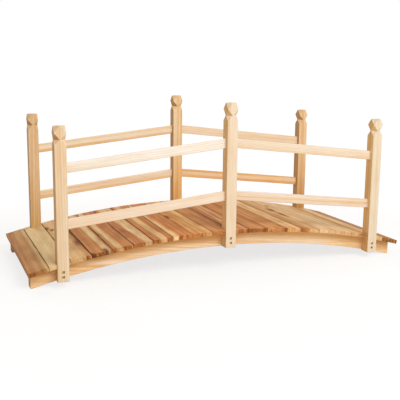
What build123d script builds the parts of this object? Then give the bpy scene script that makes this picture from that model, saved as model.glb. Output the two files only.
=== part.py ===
"""Arched garden footbridge in softwood, with posts and rails along both sides.

Two curved stringers stand on short flat feet and carry a deck of cross boards.
Three posts are screwed to the outer face of each stringer, and the boards are
notched round them.  Two straight rails fill each bay between the posts, with
their ends housed in the posts.

Frame: X runs along the bridge, Y across it and Z up.  The origin is on the
ground under the middle of the deck.  The front side is at -Y, the left end at -X.
"""

import math
import os

from build123d import *

# Stringers, the two curved beams that span from foot to foot (millimetres)
stringer_length = 1350.0
stringer_height = 47.0
stringer_thickness = 38.0
stringer_spread = 510.0  # over the outer faces of the pair
arch_rise = 87.0  # clear height under the middle of the arch
foot_length = 8.0  # flat at each end that stands on the ground

# Deck boards, laid from the left end, so that the last one overhangs more
board_count = 20
board_thickness = 14.0
board_gap = 1.5
board_edge_radius = 1.5
deck_left_overhang = 9.5
deck_right_overhang = 13.5
deck_side_setback = 2.0  # board ends behind the outer faces of the posts
board_seat_gap = 0.2  # between a flat board and the curve that it sits on

# Posts
post_section = 38.0
post_length = 494.0
end_post_inset = 99.5  # end of a stringer to the middle of its end post
notch_clearance = 0.5  # between a post and the boards cut round it

# Carved head of a post, where corner cuts make a cap over a pinched neck
cap_height = 21.0  # flat top down to the widest level of the cap
neck_drop = 21.0  # widest level down to the pinch of the neck
shoulder_drop = 18.0  # pinch down to the full square section
cap_edge = 1.5  # upright edge left at the widest level
face_land = 2.0  # flat left in the middle of each face at the pinch and the top

# Rails
rail_height = 32.0
rail_thickness = 12.0
upper_rail_level = 360.5  # foot of the post up to the middle of the rail
lower_rail_level = 181.5
rail_housing = 10.0  # how far a rail end enters its post
rail_clearance = 0.2

# Counterbored holes for the two screws that hold each post to its stringer
screw_hole_radius = 2.5
screw_recess_radius = 5.0
screw_recess_depth = 4.0
lower_screw_level = 17.0  # above the foot of the post
upper_screw_level = 33.0

cut_overrun = 5.0

# Curve of the arch, a circle through the inner ends of both feet
half_length = stringer_length / 2
half_span = half_length - foot_length
post_spacing = half_length - end_post_inset
arch_radius = (half_span**2 + arch_rise**2) / (2 * arch_rise)
arch_centre = arch_rise - arch_radius
arch_middle = (deck_left_overhang - deck_right_overhang) / 2
seat_radius = arch_radius + stringer_height

# Planes across the bridge, measured out from its middle
stringer_face = stringer_spread / 2
stringer_middle = stringer_face - stringer_thickness / 2
post_middle = stringer_face + post_section / 2
post_face = stringer_face + post_section
deck_half_width = post_face - deck_side_setback

# Boards, spread evenly along the curve from one overhang to the other
board_seat = seat_radius + board_seat_gap
deck_start = -math.asin((half_length + deck_left_overhang) / board_seat)
deck_end = math.asin((half_length + deck_right_overhang) / board_seat)
board_turn = (deck_end - deck_start) / board_count
board_width = board_seat * board_turn - board_gap

# Carved head, in the upright plane through a post's axis and one of its corners
corner_reach = post_section / math.sqrt(2)
pinch_reach = (post_section + face_land) / math.sqrt(8)
cap_level = post_length - cap_height
neck_level = cap_level - neck_drop
cap_slope = (cap_height - cap_edge / 2) / (corner_reach - pinch_reach)
neck_slope = (neck_drop - cap_edge / 2) / (corner_reach - pinch_reach)
shoulder_slope = shoulder_drop / (corner_reach - pinch_reach)

sides = {"front": -1, "back": 1}
post_places = {"left": -post_spacing, "middle": 0.0, "right": post_spacing}
bays = {"left": (-post_spacing, 0.0), "right": (0.0, post_spacing)}
rail_levels = {"upper": upper_rail_level, "lower": lower_rail_level}


def arch_level(x, radius):
    """Height at x, from the middle of the arch, of a circle round the arch's centre."""
    return arch_centre + math.sqrt(radius**2 - x**2)


def upright(y):
    """Plane along the bridge at y, with the middle of the arch at x = 0."""
    return Plane(origin=(arch_middle, y, 0), x_dir=(1, 0, 0), z_dir=(0, -1, 0))


def foot_plane(x, sign):
    """Level plane at a post's foot, flush with the underside of the stringer."""
    return Plane(origin=(arch_middle + x, sign * post_middle, arch_level(x, arch_radius)))


def corner_plane(foot, corner):
    """Upright plane through a post's axis and one of its four corners."""
    angle = math.radians(45 + 90 * corner)
    along = (math.cos(angle), math.sin(angle), 0)
    across = (math.sin(angle), -math.cos(angle), 0)
    return Plane(origin=foot.origin, x_dir=along, z_dir=across)


def rail_outline(bay, level, margin):
    """Corners of the rail of one bay, with plumb ends, grown by a margin all round."""
    left, right = bay
    rise = arch_level(right, arch_radius) - arch_level(left, arch_radius)
    slope = rise / (right - left)
    inset = post_section / 2 - rail_housing - margin
    half_height = (rail_height / 2 + margin) * math.hypot(1, slope)
    start = arch_level(left, arch_radius) + level + slope * inset
    end = arch_level(right, arch_radius) + level - slope * inset
    return [
        (left + inset, start - half_height),
        (right - inset, end - half_height),
        (right - inset, end + half_height),
        (left + inset, start + half_height),
    ]


os.makedirs("parts", exist_ok=True)


# Stringers
stringer_end_level = arch_level(half_length, seat_radius)
for side, sign in sides.items():
    with BuildPart() as stringer:
        with BuildSketch(upright(sign * stringer_middle)):
            with BuildLine():
                Line((-half_length, 0), (-half_span, 0))
                ThreePointArc((-half_span, 0), (0, arch_rise), (half_span, 0))
                Line((half_span, 0), (half_length, 0))
                Line((half_length, 0), (half_length, stringer_end_level))
                ThreePointArc(
                    (half_length, stringer_end_level),
                    (0, arch_rise + stringer_height),
                    (-half_length, stringer_end_level),
                )
                Line((-half_length, stringer_end_level), (-half_length, 0))
            make_face()
        extrude(amount=stringer_thickness / 2, both=True)
    stringer.part.label = f"{side}_stringer"
    export_step(stringer.part, f"parts/{side}_stringer.step")


# Posts, with a carved head, housings for the rails and holes for the screws
for side, sign in sides.items():
    for place, x in post_places.items():
        foot = foot_plane(x, sign)
        with BuildPart() as post:
            with BuildSketch(foot):
                Rectangle(post_section, post_section)
            extrude(amount=post_length)

            # Corner cuts of the head: one pinches the neck, one bevels the top
            outside = corner_reach + cut_overrun
            cut_depth = outside - pinch_reach
            for corner in range(4):
                with BuildSketch(corner_plane(foot, corner)):
                    with BuildLine():
                        Polyline(
                            (pinch_reach, neck_level),
                            (outside, neck_level - shoulder_slope * cut_depth),
                            (outside, neck_level + neck_slope * cut_depth),
                            close=True,
                        )
                    make_face()
                extrude(amount=post_section, both=True, mode=Mode.SUBTRACT)
                with BuildSketch(corner_plane(foot, corner)):
                    with BuildLine():
                        Polyline(
                            (pinch_reach, post_length),
                            (outside, post_length - cap_slope * cut_depth),
                            (outside, post_length + cut_overrun),
                            (pinch_reach, post_length + cut_overrun),
                            close=True,
                        )
                    make_face()
                extrude(amount=post_section, both=True, mode=Mode.SUBTRACT)

            # Housings for the rail ends
            for bay in bays.values():
                for level in rail_levels.values():
                    with BuildSketch(upright(sign * post_middle)):
                        with BuildLine():
                            Polyline(*rail_outline(bay, level, rail_clearance), close=True)
                        make_face()
                    housing_depth = rail_thickness / 2 + rail_clearance
                    extrude(amount=housing_depth, both=True, mode=Mode.SUBTRACT)

            # Screw holes, bored in from the outer face
            for level in (lower_screw_level, upper_screw_level):
                outer = (arch_middle + x, sign * post_face, foot.origin.Z + level)
                with Locations(Plane(origin=outer, x_dir=(1, 0, 0), z_dir=(0, sign, 0))):
                    CounterBoreHole(
                        radius=screw_hole_radius,
                        counter_bore_radius=screw_recess_radius,
                        counter_bore_depth=screw_recess_depth,
                        depth=post_section,
                    )
        post.part.label = f"{side}_{place}_post"
        export_step(post.part, f"parts/{side}_{place}_post.step")


# Rails
for side, sign in sides.items():
    for bay_name, bay in bays.items():
        for level_name, level in rail_levels.items():
            with BuildPart() as rail:
                with BuildSketch(upright(sign * post_middle)):
                    with BuildLine():
                        Polyline(*rail_outline(bay, level, 0), close=True)
                    make_face()
                extrude(amount=rail_thickness / 2, both=True)
            rail.part.label = f"{side}_{bay_name}_{level_name}_rail"
            export_step(rail.part, f"parts/{side}_{bay_name}_{level_name}_rail.step")


# Deck boards, each flat, square to the curve and notched round the posts in its way
notch_width = post_section + 2 * notch_clearance
post_feet = [foot_plane(x, sign) for sign in sides.values() for x in post_places.values()]
for number in range(1, board_count + 1):
    turn = deck_start + (number - 1 / 2) * board_turn
    middle = arch_middle + board_seat * math.sin(turn)
    seat_level = arch_centre + board_seat * math.cos(turn)
    along = (math.cos(turn), 0, -math.sin(turn))
    with BuildPart() as board:
        with BuildSketch(Plane(origin=(middle, 0, seat_level), x_dir=along, z_dir=(0, -1, 0))):
            Rectangle(board_width, board_thickness, align=(Align.CENTER, Align.MIN))
            fillet(vertices().group_by(Axis.Y)[-1], radius=board_edge_radius)
        extrude(amount=deck_half_width, both=True)
        with Locations(*post_feet):
            Box(
                notch_width,
                notch_width,
                post_length,
                align=(Align.CENTER, Align.CENTER, Align.MIN),
                mode=Mode.SUBTRACT,
            )
    board.part.label = f"deck_board_{number:02d}"
    export_step(board.part, f"parts/deck_board_{number:02d}.step")
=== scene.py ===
"""Arched garden footbridge in planed softwood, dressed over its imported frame.

Every length of timber is redrawn from its node with eased edges, and carries its
own piece of a tree: where the pith lay, where heartwood meets sapwood, and its
knots.  The wood materials read those attributes, so rings and streaks run through
a piece from its faces to its end grain.  Screws are set by Geometry Nodes.
"""

import logging
import math
from dataclasses import dataclass, field
from enum import Enum
from functools import reduce
from itertools import zip_longest

import bmesh
import bpy
import numpy as np
from bmesh.types import BMEdge, BMesh
from bpy.types import Material, Mesh, Node, NodeTree, Object
from bpy.types import NodeSocket as Socket
from mathutils import Matrix, Vector, noise


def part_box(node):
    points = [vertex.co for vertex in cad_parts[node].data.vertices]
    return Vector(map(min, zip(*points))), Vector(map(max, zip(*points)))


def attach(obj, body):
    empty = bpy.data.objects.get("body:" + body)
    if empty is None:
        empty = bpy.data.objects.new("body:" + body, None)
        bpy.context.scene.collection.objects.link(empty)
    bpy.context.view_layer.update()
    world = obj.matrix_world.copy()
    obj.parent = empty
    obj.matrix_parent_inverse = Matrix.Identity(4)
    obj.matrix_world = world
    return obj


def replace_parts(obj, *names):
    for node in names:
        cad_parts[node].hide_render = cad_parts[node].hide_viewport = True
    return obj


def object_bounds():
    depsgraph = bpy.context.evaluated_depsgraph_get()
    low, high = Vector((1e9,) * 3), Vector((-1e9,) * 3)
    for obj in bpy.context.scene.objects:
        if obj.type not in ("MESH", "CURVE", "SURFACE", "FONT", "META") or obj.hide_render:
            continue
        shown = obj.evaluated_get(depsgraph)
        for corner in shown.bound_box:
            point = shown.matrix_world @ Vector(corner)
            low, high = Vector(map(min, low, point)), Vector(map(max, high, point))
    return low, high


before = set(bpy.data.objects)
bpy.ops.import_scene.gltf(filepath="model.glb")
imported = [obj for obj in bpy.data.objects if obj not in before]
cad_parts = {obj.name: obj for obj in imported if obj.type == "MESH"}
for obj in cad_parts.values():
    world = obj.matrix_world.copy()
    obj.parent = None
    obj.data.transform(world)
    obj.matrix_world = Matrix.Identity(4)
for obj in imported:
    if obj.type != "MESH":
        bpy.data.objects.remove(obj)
cad_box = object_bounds()

report = logging.getLogger("footbridge")

Pair = tuple[float, float]
Triple = tuple[float, float, float]
Colour = Triple
Values = dict[int | str, object]

MM = 0.001
ROOT = "root"
X_AXIS = Vector((1.0, 0.0, 0.0))
Y_AXIS = Vector((0.0, 1.0, 0.0))
Z_AXIS = Vector((0.0, 0.0, 1.0))
WHITE: Colour = (1.0, 1.0, 1.0)

# Values before and after a step up and a step down
RISE: Pair = (0.0, 1.0)
FALL: Pair = (1.0, 0.0)

# Shares of a piece's width that lie past its two edges
PAST_LEFT = -0.2
PAST_RIGHT = 1.2

# Attributes that hold a piece's bands and knots
BAND_NAMES = ("band_a", "band_b", "band_c")
KNOT_NAMES = ("knot_a", "knot_b", "knot_c")

# A knot of no size, a metre away across and along the grain
NO_KNOT: Triple = (1.0, 1.0, 0.0)


class Slot(Enum):
    """Material slots of the record."""

    FRAME_WOOD = "frame_wood"
    DECK_WOOD = "deck_wood"
    SCREW_METAL = "screw_metal"


class Side(Enum):
    """The two long sides of the bridge, with the sign of Y on each."""

    FRONT = -1
    BACK = 1

    @property
    def word(self) -> str:
        """The side's name as the nodes spell it."""
        return self.name.lower()


class Domain(Enum):
    """What an attribute of a mesh belongs to."""

    POINT = "POINT"
    FACE = "FACE"


@dataclass(frozen=True)
class Band:
    """A strip of darker wood that runs the length of a piece.

    Its edges are shares of the piece's width, at the near and at the far end.  In a
    curved piece it follows the curve, unless it is straight.  On the stringers, the
    bands that follow the curve are painted shade under the deck.
    """

    left_near: float
    left_far: float
    right_near: float
    right_far: float
    strength: float = 1.0
    straight: bool = False

    @classmethod
    def from_left(cls, near: float, far: float, strength: float = 1.0, straight: bool = False) -> "Band":
        """A band from a piece's left edge to these shares of its width."""
        return cls(PAST_LEFT, PAST_LEFT, near, far, strength, straight)

    @classmethod
    def to_right(cls, near: float, far: float, strength: float = 1.0) -> "Band":
        """A band from these shares of a piece's width to its right edge."""
        return cls(near, far, PAST_RIGHT, PAST_RIGHT, strength)

    @classmethod
    def whole(cls, strength: float) -> "Band":
        """A band over the whole width of a piece."""
        return cls(PAST_LEFT, PAST_LEFT, PAST_RIGHT, PAST_RIGHT, strength)


@dataclass(frozen=True)
class Knot:
    """A knot, placed by shares of the piece's width and length.

    Clear wood covers a buried one, so that only its stain shows.
    """

    across_share: float
    along_share: float
    radius: float
    buried: bool = False


@dataclass(frozen=True)
class Look:
    """How one length of timber was cut from its tree, and its shade.

    The pith lies across and through the piece from its middle, and leans that far
    for each metre along.  Streaks, rings, golden patches and the dark lines on the
    left and right edges have strengths; the edge lines are partly weathering and
    partly painted shade of the gaps between boards.  Tones multiply the wood's
    colour all over and on the ends.  The other tones are painted light and shade:
    painted shade on faces that look left or down, painted light on faces that look
    to the front, and painted shade and warm bounce light on the front faces towards the foot.
    """

    tone: Colour
    pith: Pair
    lean: Pair = (0.0, 0.0)
    bands: tuple[Band, ...] = ()
    stain: Band | None = None
    knots: tuple[Knot, ...] = ()
    streaks: float = 1.0
    rings: float = 1.0
    gold: float = 0.0
    edges: Pair = (0.0, 0.0)
    end_tone: Colour = WHITE
    # Painted shade on faces that look left or down
    left_tone: Colour = WHITE
    # Painted light on faces that look to the front
    front_tone: Colour = WHITE
    # Painted shade and warm bounce light from the deck, on front faces towards the foot
    foot_tone: Colour = WHITE


@dataclass(frozen=True)
class Patches:
    """Noise in smooth patches.

    Its scales are features per metre across, along and through the grain.  It turns
    from one result to the other between two values of the noise.
    """

    scales: Triple
    detail: float
    turn: Pair
    results: Pair = RISE


@dataclass(frozen=True)
class Sway:
    """Noise that swings about zero, by half its reach each way."""

    scales: Triple
    detail: float
    reach: float


@dataclass(frozen=True)
class Axes:
    """A piece's own directions and sizes, with its grain along its length."""

    centre: Vector
    across: Vector
    along: Vector
    through: Vector
    width: float
    length: float
    depth: float

    @classmethod
    def of(cls, shape: BMesh, across: Vector, along: Vector, through: Vector) -> "Axes":
        """Measure a shape along three directions at right angles.

        Args:
            shape: The piece's mesh.
            across: Direction of its width.
            along: Direction of its length and grain.
            through: Direction of its depth.

        Returns:
            The directions with the centre and the sizes of the shape.
        """
        points = np.array([vert.co for vert in shape.verts])
        spans = []
        centre = Vector()
        for direction in (across, along, through):
            reach = points @ np.array(direction)
            spans.append(float(reach.max() - reach.min()))
            centre += direction * float((reach.max() + reach.min()) / 2)
        return cls(centre, across, along, through, *spans)

    def local(self, point: Vector) -> Vector:
        """A point measured across, along and through the piece from its centre."""
        offset = point - self.centre
        return Vector((offset.dot(self.across), offset.dot(self.along), offset.dot(self.through)))

    def world(self, local: Vector) -> Vector:
        """The point that lies at these distances across, along and through the piece."""
        return self.centre + self.across * local.x + self.along * local.y + self.through * local.z


@dataclass(frozen=True)
class Arc:
    """A circle along the bridge, in an upright plane."""

    centre_x: float
    centre_z: float
    radius: float

    @classmethod
    def over(cls, shape: BMesh) -> "Arc":
        """Find the curve of a beam's upper side.

        Args:
            shape: The curved beam.

        Returns:
            The circle through its crown and its two upper end corners.
        """
        points = np.array([vert.co for vert in shape.verts])
        left = float(points[:, 0].min())
        right = float(points[:, 0].max())
        crown = float(points[:, 2].max())
        at_end = points[points[:, 0] > right - MM]
        rise = crown - float(at_end[:, 2].max())
        radius = ((right - left) ** 2 / 4 + rise**2) / (2 * rise)
        return cls((left + right) / 2, crown - radius, radius)

    def depth(self, points: np.ndarray) -> np.ndarray:
        """How far points lie inside the circle."""
        return self.radius - np.hypot(points[:, 0] - self.centre_x, points[:, 2] - self.centre_z)


class NodeBench:
    """Adds nodes to one tree, joined up as they are made."""

    def __init__(self, tree: NodeTree) -> None:
        """Start from an empty tree."""
        self.tree = tree
        self.tree.nodes.clear()

    def feed(self, socket: Socket, value: object) -> None:
        """Link a socket to another one, or set its value.

        Args:
            socket: The input to feed.
            value: An output socket, a number, a word or a tuple.
        """
        if isinstance(value, Socket):
            self.tree.links.new(value, socket)
        elif socket.type == "RGBA":
            socket.default_value = (*value, 1.0)
        else:
            socket.default_value = value

    def add(self, kind: str, values: Values | None = None, **settings: object) -> Node:
        """Make a node, set its properties and feed its inputs.

        Args:
            kind: The node's type name.
            values: What goes into its inputs, by their names or numbers.
            settings: Properties by name.

        Returns:
            The new node.
        """
        node = self.tree.nodes.new(kind)
        for name, setting in settings.items():
            setattr(node, name, setting)
        for key, value in (values or {}).items():
            self.feed(node.inputs[key], value)
        return node

    def math(self, operation: str, first: object, second: object = 0.0) -> Socket:
        """The result of a Math node on two values."""
        return self.add("ShaderNodeMath", {0: first, 1: second}, operation=operation).outputs[0]

    def product(self, *factors: object) -> Socket:
        """Several numbers multiplied together."""
        return reduce(lambda first, second: self.math("MULTIPLY", first, second), factors)

    def vector(self, operation: str, first: object, second: object = (0.0, 0.0, 0.0)) -> Socket:
        """The result of a Vector Math node on two vectors."""
        node = self.add("ShaderNodeVectorMath", {0: first, 1: second}, operation=operation)
        return node.outputs["Value" if operation == "LENGTH" else "Vector"]

    def attribute(self, name: str) -> Socket:
        """The vector of a mesh attribute."""
        return self.add("ShaderNodeAttribute", attribute_name=name).outputs["Vector"]

    def parts(self, vector: Socket) -> list[Socket]:
        """The three numbers of a vector."""
        return list(self.add("ShaderNodeSeparateXYZ", {0: vector}).outputs)

    def noise(self, place: Socket, scales: Triple, detail: float) -> Node:
        """A noise texture with its own number of features per metre along each axis."""
        spread = self.vector("MULTIPLY", place, scales)
        return self.add("ShaderNodeTexNoise", {"Vector": spread, "Scale": 1.0, "Detail": detail})

    def patches(self, place: Socket, pattern: Patches) -> Socket:
        """Noise in smooth patches."""
        value = self.noise(place, pattern.scales, pattern.detail).outputs[0]
        return self.step(value, pattern.turn, pattern.results)

    def sway(self, place: Socket, pattern: Sway) -> Socket:
        """Noise that swings about zero."""
        value = self.noise(place, pattern.scales, pattern.detail).outputs[0]
        return self.product(self.math("SUBTRACT", value, 0.5), pattern.reach)

    def step(self, value: object, turn: Pair, results: Pair = RISE) -> Socket:
        """A smooth step.

        Args:
            value: The number to map.
            turn: The values between which it turns from one result to the other.
            results: The two results.

        Returns:
            The mapped number.
        """
        ends = {"From Min": turn[0], "From Max": turn[1], "To Min": results[0], "To Max": results[1]}
        node = self.add("ShaderNodeMapRange", {"Value": value, **ends}, interpolation_type="SMOOTHSTEP")
        return node.outputs[0]

    def mix(self, factor: object, first: object, second: object, blend: str = "MIX") -> Socket:
        """Two colours mixed by a factor."""
        # Inputs 6 and 7 and output 2 are the ones for colours
        values = {"Factor": factor, 6: first, 7: second}
        return self.add("ShaderNodeMix", values, data_type="RGBA", blend_type=blend).outputs[2]

    def tint(self, colour: Socket, factor: object, by: object) -> Socket:
        """A colour multiplied by another one, as far as the factor says."""
        return self.mix(factor, colour, by, "MULTIPLY")

    def blend(self, factor: object, first: Node, second: Node) -> Node:
        """Two shaders mixed by a factor."""
        return self.add("ShaderNodeMixShader", {0: factor, 1: first.outputs[0], 2: second.outputs[0]})

    def grey(self, value: Socket) -> Socket:
        """One number as a grey colour."""
        return self.add("ShaderNodeCombineColor", {0: value, 1: value, 2: value}).outputs[0]

    def surface(self, shader: Node, output: str = "ShaderNodeOutputMaterial") -> None:
        """End the tree in a shader."""
        self.add(output, {"Surface": shader.outputs[0]})


def new_material(name: str) -> tuple[Material, NodeBench]:
    """Make an empty node material.

    Args:
        name: The material's name.

    Returns:
        The material, and a bench for its nodes.
    """
    material = bpy.data.materials.new(name)
    material.use_nodes = True
    return material, NodeBench(material.node_tree)


@dataclass(frozen=True)
class WoodFinish:
    """Planed softwood under a clear matt coat.

    Colours are linear.  Sapwood and heartwood each run from a pale shade to a deep
    one in long streaks, and late wood tints every ring.  A year runs from 0 to 1
    across its ring.  Knots are drawn in shares of their own radius.
    """

    name: str
    sap_pale: Colour
    sap_deep: Colour
    heart_pale: Colour
    heart_deep: Colour
    ring_tint: Colour
    mottle_tint: Colour
    end_tint: Colour
    edge_tint: Colour
    stain: Colour
    knot: Colour
    halo_tint: Colour
    ring_width: float
    ring_strength: float
    roughness: float
    shine: float

    streaks: Patches = Patches((95.0, 1.3, 95.0), 3.0, (0.34, 0.68))
    mottle: Patches = Patches((42.0, 9.0, 42.0), 3.0, (0.36, 0.7))
    gold: Patches = Patches((48.0, 0.7, 48.0), 2.0, (0.42, 0.58))
    end_checks: Patches = Patches((120.0, 3.0, 20.0), 2.0, (0.5, 0.62), (0.0, 0.7))
    seasons: Patches = Patches((140.0, 1.0, 140.0), 1.0, (0.25, 0.7), (0.35, 1.0))
    # Patchiness of the edge lines, which are partly weathering and partly painted shade
    edge_wear: Patches = Patches((4.0, 7.0, 4.0), 1.0, (0.35, 0.62), (0.35, 1.0))
    ring_sway: Sway = Sway((16.0, 1.7, 16.0), 2.0, 16 * MM)
    band_sway: Sway = Sway((75.0, 5.0, 75.0), 2.0, 14 * MM)
    edge_sway: Sway = Sway((60.0, 45.0, 60.0), 2.0, 5 * MM)
    knot_sway: Sway = Sway((210.0, 90.0, 210.0), 2.0, 1.3)
    fibre_scales: Triple = (1900.0, 22.0, 1900.0)
    fibre_detail: float = 1.0
    fibre_turn: Pair = (0.3, 0.7)
    fibre_shade: Pair = (0.93, 1.05)

    late_wood_from: Pair = (0.25, 0.88)
    late_wood_to: Pair = (0.92, 1.0)
    sap_and_heart_ends: Pair = (0.35, 1.0)
    # How far up a post the painted shade at its foot reaches
    foot_share: float = 0.7
    band_softness: Pair = (3.5 * MM, 2.5 * MM)
    edge_line: Pair = (0.4 * MM, 3.2 * MM)
    least_knot: float = 0.1 * MM
    knot_rim: Pair = (0.75, 1.2)
    knot_core: Pair = (0.1, 0.75)
    knot_shade: Pair = (0.45, 0.97)
    halo: Pair = (0.9, 2.6)
    bulge: Pair = (0.6, 3.6)
    bulge_height: float = 1.4
    early_and_late_gloss: Pair = (0.06, -0.08)
    fibre_relief: float = 0.5
    ring_relief: float = 0.4
    knot_relief: float = 0.6
    relief_strength: float = 0.35
    relief_depth: float = 0.25 * MM

    def material(self) -> Material:
        """Build the node material.

        Returns:
            A material that reads the attributes which Timber writes.
        """
        material, bench = new_material(self.name)
        place = bench.attribute("log")
        streak_share, ring_share, gold_share = bench.parts(bench.attribute("grain"))
        end_grain = bench.parts(bench.attribute("borders"))[2]
        along_share = bench.parts(bench.attribute("edge_gaps"))[2]

        knots, halo, bulge = self.knot_nodes(bench, place)
        ring = self.ring_nodes(bench, place, bulge)
        fibre = bench.noise(place, self.fibre_scales, self.fibre_detail).outputs[0]
        streak = bench.product(bench.patches(place, self.streaks), streak_share)
        mottle = bench.product(bench.patches(place, self.mottle), streak_share)
        wander = bench.sway(place, self.band_sway)
        heart = bench.product(bench.patches(place, self.gold), gold_share)
        for name in BAND_NAMES:
            heart = bench.math("MAXIMUM", heart, self.band_nodes(bench, name, wander))

        sapwood = bench.mix(streak, self.sap_pale, self.sap_deep)
        heartwood = bench.mix(streak, self.heart_pale, self.heart_deep)
        colour = bench.mix(heart, sapwood, heartwood)
        # The tone holds each piece's tint, its end grain, and the painted shade and light of its left,
        # lower and front faces
        colour = bench.tint(colour, 1.0, bench.attribute("tone"))
        # Painted shade and warm bounce light from the deck, on the front faces towards a post's foot
        foot = bench.step(along_share, (0.0, self.foot_share), FALL)
        colour = bench.tint(colour, foot, bench.attribute("foot_tone"))
        colour = bench.tint(colour, mottle, self.mottle_tint)
        on_face = bench.product(ring, ring_share, self.ring_strength)
        on_end = bench.product(ring, end_grain)
        colour = bench.tint(colour, bench.math("MAXIMUM", on_face, on_end), self.ring_tint)
        dark_end = bench.product(end_grain, bench.step(heart, RISE, self.sap_and_heart_ends))
        colour = bench.tint(colour, dark_end, self.end_tint)
        checks = bench.product(dark_end, bench.patches(place, self.end_checks))
        colour = bench.tint(colour, checks, self.edge_tint)
        # Dark edge lines: partly weathering, partly painted shade of the gaps between boards
        colour = bench.tint(colour, self.edge_nodes(bench, place), self.edge_tint)
        colour = bench.mix(self.band_nodes(bench, "stain", wander), colour, self.stain)
        colour = bench.tint(colour, halo, self.halo_tint)
        colour = bench.mix(knots, colour, self.knot)
        colour = bench.tint(colour, 1.0, bench.grey(bench.step(fibre, self.fibre_turn, self.fibre_shade)))

        early_gloss, late_gloss = self.early_and_late_gloss
        gloss = (self.roughness + early_gloss, self.roughness + late_gloss)
        values = {
            "Base Color": colour,
            "Roughness": bench.step(ring, RISE, gloss),
            "Normal": self.relief(bench, ring, fibre, knots),
            "Specular IOR Level": self.shine,
        }
        bench.surface(bench.add("ShaderNodeBsdfPrincipled", values))
        return material

    def relief(self, bench: NodeBench, ring: Socket, fibre: Socket, knots: Socket) -> Socket:
        """Fine relief of the planed face.

        Args:
            bench: The material's nodes.
            ring: Late wood, which stands lower.
            fibre: Fine fibres.
            knots: Knots, which have shrunk.

        Returns:
            The bumped normal.
        """
        fibres = bench.product(fibre, self.fibre_relief)
        height = bench.math("SUBTRACT", fibres, bench.product(ring, self.ring_relief))
        height = bench.math("SUBTRACT", height, bench.product(knots, self.knot_relief))
        values = {"Strength": self.relief_strength, "Distance": self.relief_depth, "Height": height}
        return bench.add("ShaderNodeBump", values).outputs[0]

    def ring_nodes(self, bench: NodeBench, place: Socket, bulge: Socket) -> Socket:
        """Growth rings round the pith.

        Args:
            bench: The material's nodes.
            place: Position in the tree, with Y along the pith.
            bulge: How far knots push the rings aside, in metres.

        Returns:
            From 0 in early wood to 1 in late wood.
        """
        reach = self.ring_sway.reach
        drift = bench.noise(place, self.ring_sway.scales, self.ring_sway.detail).outputs[1]
        drift = bench.vector("SUBTRACT", drift, (0.5, 0.5, 0.5))
        drift = bench.vector("MULTIPLY", drift, (reach, 0.0, reach))
        section = bench.vector("MULTIPLY", bench.vector("ADD", place, drift), (1.0, 0.0, 1.0))
        radius = bench.math("ADD", bench.vector("LENGTH", section), bulge)
        year = bench.math("FRACT", bench.math("DIVIDE", radius, self.ring_width))
        begun = bench.step(year, self.late_wood_from)
        lasting = bench.step(year, self.late_wood_to, FALL)
        return bench.product(begun, lasting, bench.patches(place, self.seasons))

    def band_nodes(self, bench: NodeBench, name: str, wander: Socket) -> Socket:
        """The strength of one band of darker wood.

        Args:
            bench: The material's nodes.
            name: The attribute with the distances inside its two edges.
            wander: How far the edges stray, in metres.

        Returns:
            From 0 outside the band to its strength inside it.
        """
        left, right, strength = bench.parts(bench.attribute(name))
        soft_left, soft_right = self.band_softness
        inside_left = bench.step(bench.math("ADD", left, wander), (-soft_left, soft_left))
        inside_right = bench.step(bench.math("SUBTRACT", right, wander), (-soft_right, soft_right))
        return bench.product(inside_left, inside_right, strength)

    def edge_nodes(self, bench: NodeBench, place: Socket) -> Socket:
        """Dark lines on the long edges: partly weathering, partly painted shade of board gaps.

        Args:
            bench: The material's nodes.
            place: Position in the tree, with Y along the pith.

        Returns:
            From 0 away from the edges to the strength of the line on them.
        """
        gaps = bench.parts(bench.attribute("edge_gaps"))[:2]
        strengths = bench.parts(bench.attribute("borders"))[:2]
        ragged = bench.sway(place, self.edge_sway)
        worn_and_shaded = bench.patches(place, self.edge_wear)
        lines = []
        for gap, strength in zip(gaps, strengths):
            line = bench.step(bench.math("ADD", gap, ragged), self.edge_line, FALL)
            lines.append(bench.product(line, strength, worn_and_shaded))
        return bench.math("MAXIMUM", *lines)

    def knot_nodes(self, bench: NodeBench, place: Socket) -> tuple[Socket, Socket, Socket]:
        """The three knots that a piece can have, each ragged, with a dark rim.

        Args:
            bench: The material's nodes.
            place: Position in the tree, with Y along the pith.

        Returns:
            The dark of the knots, the stained wood round them, and how far they push
            the rings aside, in metres.
        """
        ragged = bench.sway(place, self.knot_sway)
        dark: object = 0.0
        stained: object = 0.0
        push: object = 0.0
        for name in KNOT_NAMES:
            across, along, radius = bench.parts(bench.attribute(name))
            squares = [bench.math("POWER", offset, 2.0) for offset in (across, along)]
            distance = bench.math("SQRT", bench.math("ADD", *squares))
            reach = bench.math("DIVIDE", distance, bench.math("MAXIMUM", radius, self.least_knot))
            uneven = bench.math("ADD", reach, ragged)
            inside = bench.step(uneven, self.knot_rim, FALL)
            shade = bench.step(uneven, self.knot_core, self.knot_shade)
            dark = bench.math("MAXIMUM", bench.product(inside, shade), dark)
            stained = bench.math("MAXIMUM", bench.step(reach, self.halo, FALL), stained)
            height = bench.step(reach, self.bulge, (self.bulge_height, 0.0))
            push = bench.math("ADD", bench.product(radius, height), push)
        return dark, stained, push


FRAME_PINE = WoodFinish(
    name="frame_pine",
    sap_pale=(0.89, 0.73, 0.56),
    sap_deep=(0.82, 0.60, 0.38),
    heart_pale=(0.86, 0.56, 0.24),
    heart_deep=(0.74, 0.42, 0.15),
    ring_tint=(0.88, 0.76, 0.60),
    mottle_tint=(0.97, 0.93, 0.88),
    end_tint=(0.86, 0.72, 0.58),
    edge_tint=(0.60, 0.45, 0.32),
    stain=(0.30, 0.17, 0.08),
    knot=(0.16, 0.07, 0.03),
    halo_tint=(0.80, 0.62, 0.45),
    ring_width=4.2 * MM,
    ring_strength=0.6,
    roughness=0.56,
    shine=0.25,
)

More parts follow.
